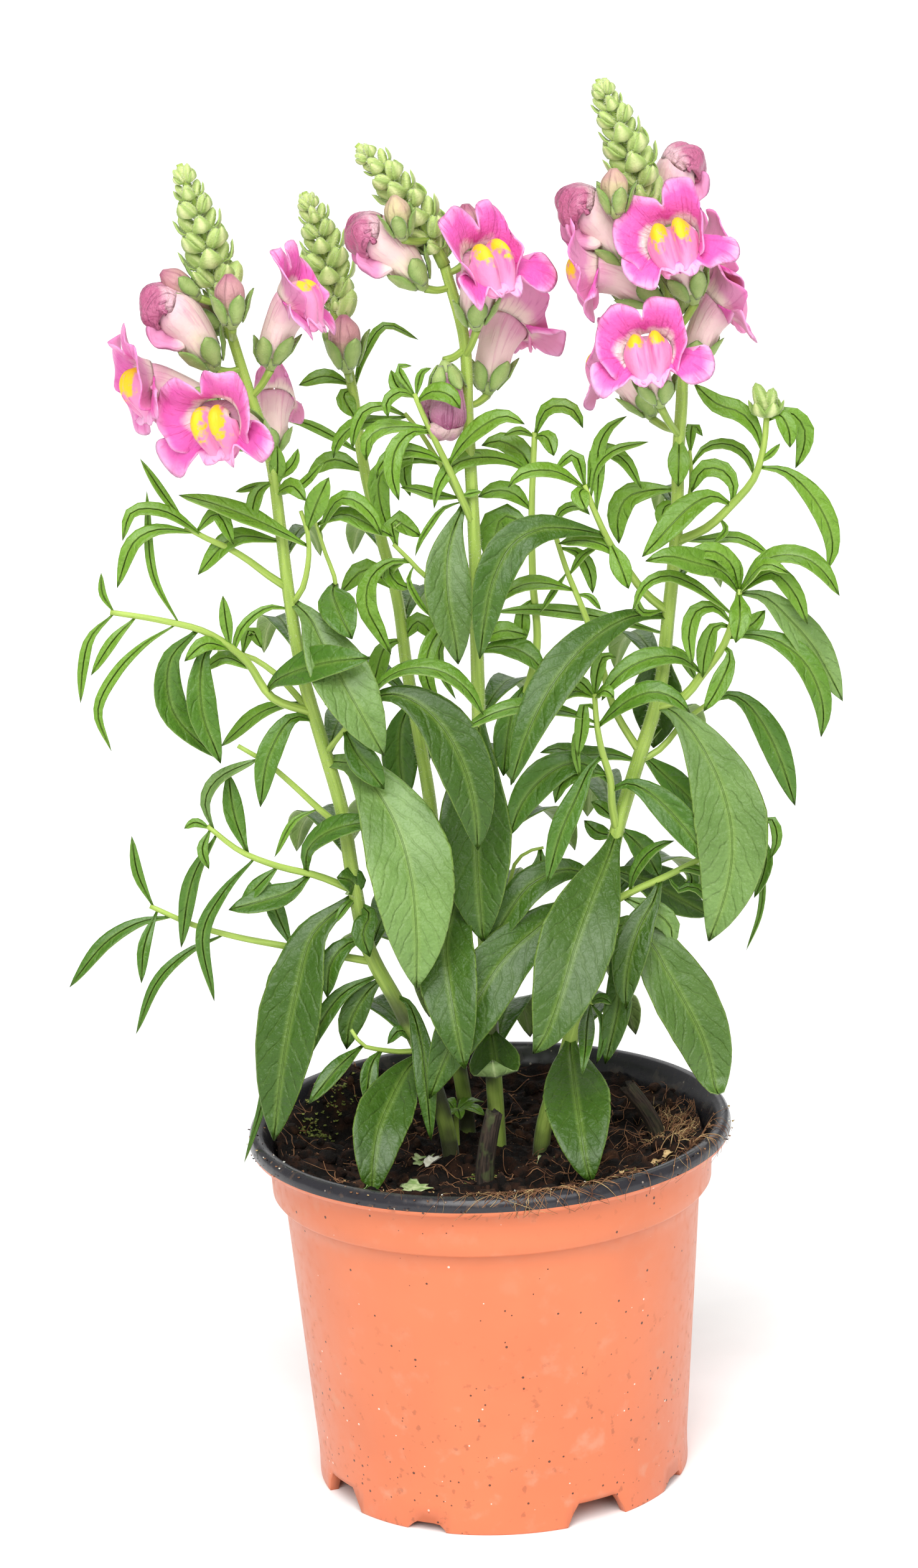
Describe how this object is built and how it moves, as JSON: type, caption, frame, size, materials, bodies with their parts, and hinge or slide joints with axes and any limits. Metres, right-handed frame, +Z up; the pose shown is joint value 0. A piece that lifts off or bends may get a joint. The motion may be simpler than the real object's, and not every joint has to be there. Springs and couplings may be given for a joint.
{
  "type": "snapdragon plant in a nursery pot",
  "caption": "Pink snapdragon plant with open flowers, buds, leafy stems and dark soil, standing in a small round terracotta-coloured plastic nursery pot",
  "frame": {"origin": "middle of the flat pad under the pot's floor, on the surface it stands on", "axes": "+Z up along the pot's axis, -Y towards the front, +X to the right seen from the front"},
  "size_m": [0.2062, 0.13, 0.3781],
  "materials": {
    "leaf_green": "soft green leaf with a faint sheen",
    "petal_pink": "velvety pink petal with paler edges",
    "bud_pink": "closed dusky-pink petals",
    "withered_petal": "limp wilted petal",
    "seedling_green": "young leaf",
    "pot_plastic": "thin moulded plastic, terracotta outside and black inside",
    "peat_soil": "damp fibrous peat",
    "dry_wood": "dry woody stem"
  },
  "bodies": {
    "root": {"bloom_left_back": "petal_pink", "bloom_left_front": "petal_pink", "bloom_left_inner": "petal_pink", "bloom_left_side": "petal_pink", "bloom_middle_back": "petal_pink", "bloom_middle_front": "petal_pink", "bloom_right_back": "petal_pink", "bloom_right_lower": "petal_pink", "bloom_right_outer": "petal_pink", "bloom_right_rear": "petal_pink", "bloom_right_side": "petal_pink", "bloom_right_upper": "petal_pink", "coloured_bud_back_left": "bud_pink", "coloured_bud_left_front": "bud_pink", "coloured_bud_left_low": "bud_pink", "coloured_bud_left_outer": "bud_pink", "coloured_bud_middle_back": "bud_pink", "coloured_bud_middle_front": "bud_pink", "coloured_bud_right_front": "bud_pink", "half_open_bud_left": "bud_pink", "half_open_bud_middle": "bud_pink", "half_open_bud_right": "bud_pink", "half_open_bud_right_back": "bud_pink", "leafy_stem_back_left": "leaf_green", "leafy_stem_left": "leaf_green", "leafy_stem_middle": "leaf_green", "leafy_stem_right": "leaf_green", "pot": "pot_plastic", "seedling": "seedling_green", "soil": "peat_soil", "withered_bloom_middle": "withered_petal", "woody_stub_front": "dry_wood", "woody_stub_right": "dry_wood"}
  },
  "joints": []
}
